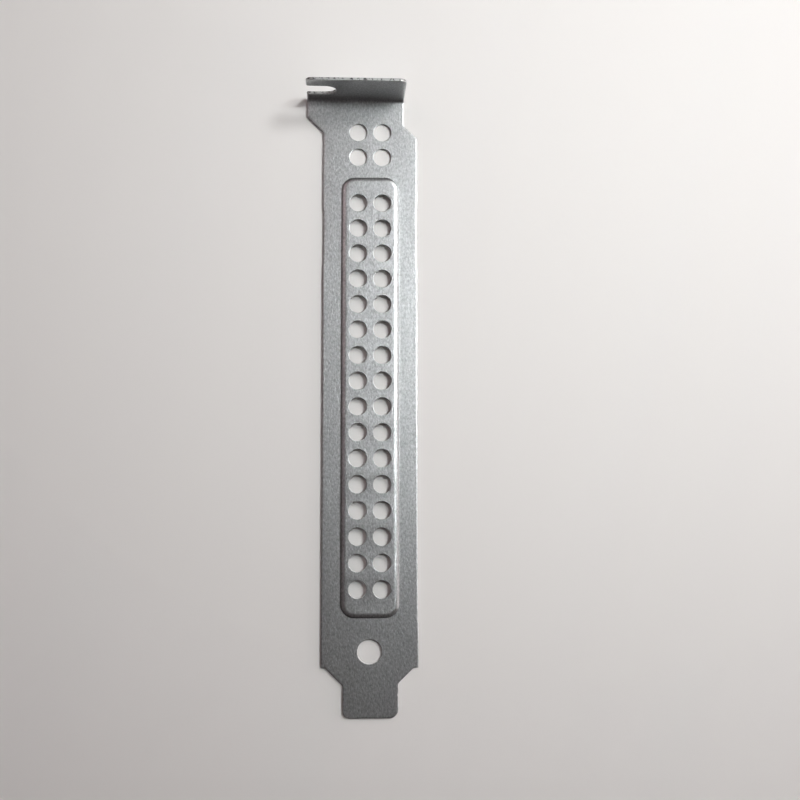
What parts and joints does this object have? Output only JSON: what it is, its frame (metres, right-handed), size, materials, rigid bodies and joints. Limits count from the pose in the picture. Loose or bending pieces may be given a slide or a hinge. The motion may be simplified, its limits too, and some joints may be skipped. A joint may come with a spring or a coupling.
{
  "type": "pci slot cover bracket",
  "caption": "Folded sheet-steel cover for a full-height expansion slot, with a notched flange, a raised vented panel, a round hole and a tongue.",
  "frame": {"origin": "centre of the round hole, on the back face", "axes": "+X across the bracket, +Y along it towards the flange, +Z out of the front face, the way the panel and the flange stand"},
  "size_m": [0.0217, 0.12, 0.0114],
  "materials": {
    "galvanised_steel": "galvanised sheet, satin, with a fine mottled grain"
  },
  "bodies": {
    "root": {"bracket": "galvanised_steel"}
  },
  "joints": []
}
